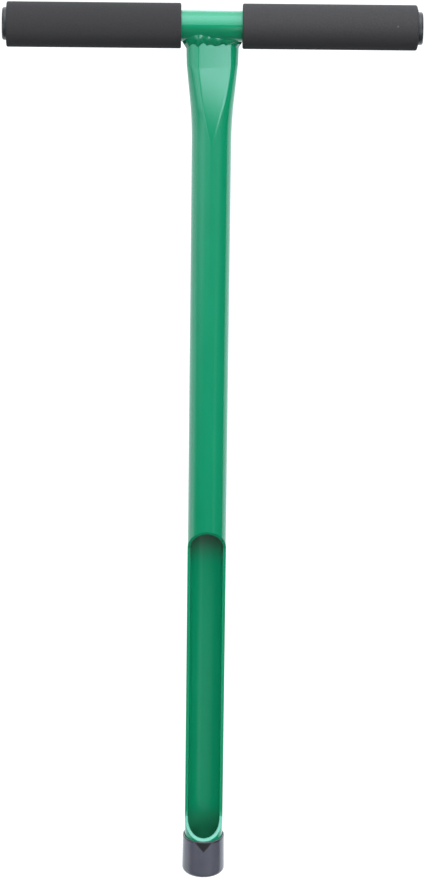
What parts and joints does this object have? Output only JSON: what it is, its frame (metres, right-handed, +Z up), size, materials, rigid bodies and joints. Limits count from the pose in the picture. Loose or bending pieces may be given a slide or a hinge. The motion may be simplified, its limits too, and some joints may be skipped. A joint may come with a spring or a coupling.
{
  "type": "soil probe",
  "caption": "T-handled soil probe: a round steel tube with a long side window, its flattened top welded under a crossbar with foam grips, and a soft cap over the cutting end.",
  "frame": {"origin": "centre of the cap's flat underside, on the axis of the tube", "axes": "+Z up along the tube to the handle, +X along the crossbar to the right grip, and the window of the tube faces -Y"},
  "size_m": [0.2312, 0.025, 0.533],
  "materials": {
    "painted_tube": "gloss",
    "painted_crossbar": "gloss",
    "painted_weld": "gloss",
    "grip_foam": "matte foam",
    "plug_plastic": "satin",
    "cap_vinyl": "gloss"
  },
  "bodies": {
    "probe": {"shaft_tube": "painted_tube", "crossbar_tube": "painted_crossbar", "weld_bead": "painted_weld", "grip_left": "grip_foam", "grip_right": "grip_foam", "end_plug_left": "plug_plastic", "end_plug_right": "plug_plastic"},
    "cap": {"tip_cap": "cap_vinyl"}
  },
  "joints": [
    {"name": "cap_pull_off", "type": "slide", "parent": "probe", "child": "cap", "axis": [0, 0, -1], "range_m": [0, 0.035]}
  ]
}
